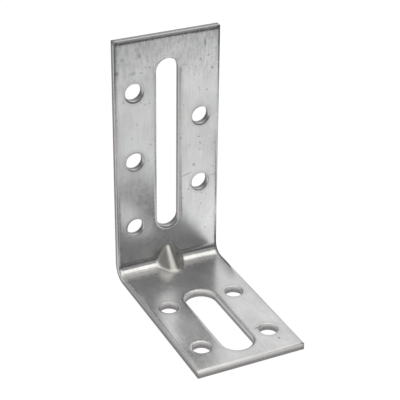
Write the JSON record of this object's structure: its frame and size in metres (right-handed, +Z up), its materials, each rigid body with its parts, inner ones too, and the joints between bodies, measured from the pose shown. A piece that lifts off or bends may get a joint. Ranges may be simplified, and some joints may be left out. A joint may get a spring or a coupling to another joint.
{
  "type": "reinforced angle bracket",
  "caption": "Folded zinc-coated steel angle bracket with a pressed stiffening dart in the bend, staggered nail holes and a long slot in each leg.",
  "frame": {"origin": "under the middle of the bracket's box, on the plane of the foot's underside", "axes": "+Z up the upright, +Y from the toe of the foot to the back of the upright, +X across the sheet to the right when the inside of the fold is seen from the front"},
  "size_m": [0.03, 0.0524, 0.07],
  "materials": {
    "zinc_steel": "satin zinc coating on cold rolled sheet"
  },
  "bodies": {
    "root": {"angle_bracket": "zinc_steel"}
  },
  "joints": []
}
